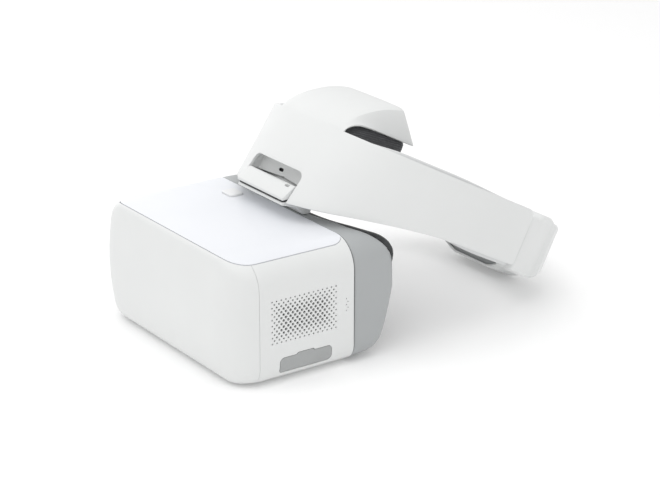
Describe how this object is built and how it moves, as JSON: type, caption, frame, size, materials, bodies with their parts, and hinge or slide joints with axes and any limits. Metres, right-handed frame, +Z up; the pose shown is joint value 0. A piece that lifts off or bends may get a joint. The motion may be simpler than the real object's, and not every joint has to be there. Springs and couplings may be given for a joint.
{
  "type": "fpv goggles",
  "caption": "Box-shaped video goggles with a foam face seal, a vented side and port flap, hung from a rigid padded headband that tilts, with a battery and fit knob at the back.",
  "frame": {"origin": "centre of the footprint at the surface the goggles stand on, as the bounding box's bottom centre", "axes": "+X to the wearer's left, +Y back from the visor to the rear housing, +Z up"},
  "size_m": [0.205, 0.3382, 0.1684],
  "materials": {
    "white_shell": "satin moulded",
    "cool_white_panel": "smooth satin",
    "grey_shell": "satin moulded",
    "grey_rubber": "matte",
    "dark_foam": "soft foam with fabric skin",
    "black_plastic": "fine texture",
    "lens_glass": "coated",
    "steel": "plain",
    "alloy": "blasted",
    "circuit_board": "solder mask",
    "battery_wrap": "shrink wrapped",
    "pad_fabric": "knitted"
  },
  "bodies": {
    "visor": {"front_cover": "white_shell", "left_side_cover": "white_shell", "right_side_cover": "white_shell", "bottom_cover": "white_shell", "top_panel": "cool_white_panel", "vent_grille": "white_shell", "touch_pad": "white_shell", "face_frame": "grey_shell", "face_foam": "dark_foam", "optics_frame": "black_plastic", "display_panel": "black_plastic", "display_bracket": "black_plastic", "main_board": "circuit_board", "heat_sink": "alloy", "fan_housing": "black_plastic", "port_board": "circuit_board", "hdmi_socket": "steel", "usb_socket": "steel", "card_socket": "steel", "audio_socket": "black_plastic", "proximity_sensor": "black_plastic", "front_foot": "grey_rubber", "rear_foot": "grey_rubber", "hinge_mount": "white_shell", "latch_plate": "black_plastic", "hinge_block": "white_shell", "hinge_pin": "steel"},
    "headband": {"headband_shell": "white_shell", "headband_liner": "grey_shell", "forehead_pad": "pad_fabric", "side_pad_left": "pad_fabric", "side_pad_right": "pad_fabric", "crown_pad": "pad_fabric"},
    "rear_housing": {"rear_cover": "white_shell", "rear_inner_wall": "grey_shell", "size_strap_left": "black_plastic", "size_strap_right": "black_plastic", "battery_cell_lower": "battery_wrap", "battery_cell_upper": "battery_wrap", "battery_light": "lens_glass", "charge_socket": "black_plastic", "rear_pad": "pad_fabric"},
    "size_knob": {"size_knob": "black_plastic", "size_pinion": "steel"},
    "power_button": {"power_button": "black_plastic"},
    "left_lens": {"lens_barrel_left": "black_plastic", "lens_left": "lens_glass", "lens_rack_left": "steel"},
    "right_lens": {"lens_barrel_right": "black_plastic", "lens_right": "lens_glass", "lens_rack_right": "steel"},
    "eye_knob": {"eye_knob": "black_plastic", "eye_pinion": "steel"},
    "release_button": {"release_button": "white_shell"},
    "function_button": {"function_button": "black_plastic"},
    "back_button": {"back_button": "black_plastic"},
    "link_button": {"link_button": "black_plastic"},
    "port_cover": {"port_cover": "grey_rubber"},
    "fan_rotor": {"fan_rotor": "black_plastic"}
  },
  "joints": [
    {"name": "headband_tilt", "type": "hinge", "parent": "visor", "child": "headband", "pos_m": [0, -0.07036, 0.11457], "axis": [1, 0, 0], "range_deg": [0, 45]},
    {"name": "size_slide", "type": "slide", "parent": "headband", "child": "rear_housing", "axis": [0, 0.8829, -0.4695], "range_m": [0, 0.018]},
    {"name": "size_knob_turn", "type": "hinge", "parent": "rear_housing", "child": "size_knob", "pos_m": [0, 0.15825, 0.02586], "axis": [0, 0.8829, -0.4695], "range_deg": [0, 305]},
    {"name": "power_button_press", "type": "slide", "parent": "rear_housing", "child": "power_button", "axis": [0, -0.4695, -0.8829], "range_m": [0, 0.001], "stiffness_N_per_m": 250, "springref_m": -0.0008},
    {"name": "left_lens_slide", "type": "slide", "parent": "visor", "child": "left_lens", "axis": [1, 0, 0], "range_m": [-0.003, 0.003]},
    {"name": "right_lens_slide", "type": "slide", "parent": "visor", "child": "right_lens", "axis": [1, 0, 0], "range_m": [-0.003, 0.003]},
    {"name": "eye_knob_turn", "type": "hinge", "parent": "visor", "child": "eye_knob", "pos_m": [0, -0.0935, 0.009], "axis": [0, 0, 1], "range_deg": [-30, 30]},
    {"name": "release_button_press", "type": "slide", "parent": "visor", "child": "release_button", "axis": [0, 0, -1], "range_m": [0, 0.0015], "stiffness_N_per_m": 300, "springref_m": -0.0008},
    {"name": "function_button_press", "type": "slide", "parent": "visor", "child": "function_button", "axis": [0, 0, 1], "range_m": [0, 0.0008], "stiffness_N_per_m": 250, "springref_m": -0.0008},
    {"name": "back_button_press", "type": "slide", "parent": "visor", "child": "back_button", "axis": [0, 0, 1], "range_m": [0, 0.0008], "stiffness_N_per_m": 250, "springref_m": -0.0008},
    {"name": "link_button_press", "type": "slide", "parent": "visor", "child": "link_button", "axis": [0, 0, 1], "range_m": [0, 0.0008], "stiffness_N_per_m": 250, "springref_m": -0.0008},
    {"name": "port_cover_open", "type": "hinge", "parent": "visor", "child": "port_cover", "pos_m": [0.0956, -0.1045, 0.0079], "axis": [0, 1, 0], "range_deg": [0, 95]},
    {"name": "fan_spin", "type": "hinge", "parent": "visor", "child": "fan_rotor", "pos_m": [0.08, -0.1075, 0.059], "axis": [1, 0, 0], "continuous": true}
  ],
  "couplings": [
    {"joint": "size_knob_turn", "follows": "size_slide", "rad_per_m": 294},
    {"joint": "right_lens_slide", "follows": "left_lens_slide", "ratio": -1},
    {"joint": "eye_knob_turn", "follows": "left_lens_slide", "rad_per_m": 166.67}
  ]
}
